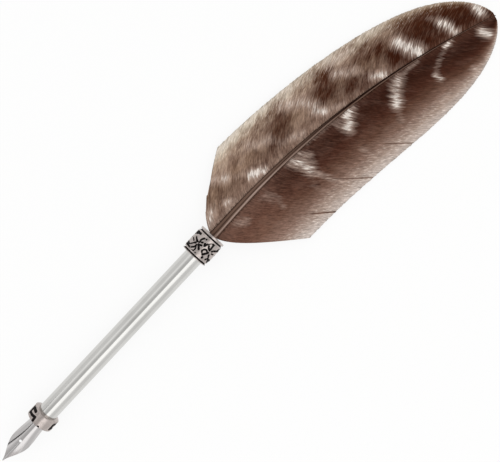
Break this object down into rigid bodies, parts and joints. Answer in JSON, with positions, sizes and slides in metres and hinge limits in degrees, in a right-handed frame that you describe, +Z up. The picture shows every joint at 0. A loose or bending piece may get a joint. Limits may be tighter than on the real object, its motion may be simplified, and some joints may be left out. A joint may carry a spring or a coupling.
{
  "type": "quill pen",
  "caption": "Feather dip pen lying on a table: a pull-out steel nib in a polished metal tube, with a cast collar ring, a rosette ferrule and a barred wing feather.",
  "frame": {"origin": "middle of the pen's outline as it lies on a table, on the table's surface", "axes": "+X along the tube from the nib towards the feather, +Y towards the paler vane, +Z up"},
  "size_m": [0.2662, 0.0584, 0.0119],
  "materials": {
    "nib_steel": "pressed and polished stainless steel sheet",
    "core_brass": "plain turned brass",
    "antique_silver": "cast alloy plated in antique silver, with dark patina in the recesses",
    "tube_chrome": "polished, plated tube",
    "bush_wood": "plain turned wood",
    "shaft_keratin": "satin horn of a feather's shaft",
    "pale_vane": "mottled beige and brown barbs",
    "dark_vane": "dark brown barbs with pale bars"
  },
  "bodies": {
    "holder": {"barrel_tube": "tube_chrome", "collar_ring": "antique_silver", "ferrule": "antique_silver", "nib_core": "core_brass", "calamus_bush": "bush_wood", "feather_shaft": "shaft_keratin", "left_vane": "pale_vane", "right_vane": "dark_vane"},
    "nib": {"nib": "nib_steel"}
  },
  "joints": [
    {"name": "nib_pull", "type": "slide", "parent": "holder", "child": "nib", "axis": [-1, 0, 0], "range_m": [0, 0.0145]}
  ]
}
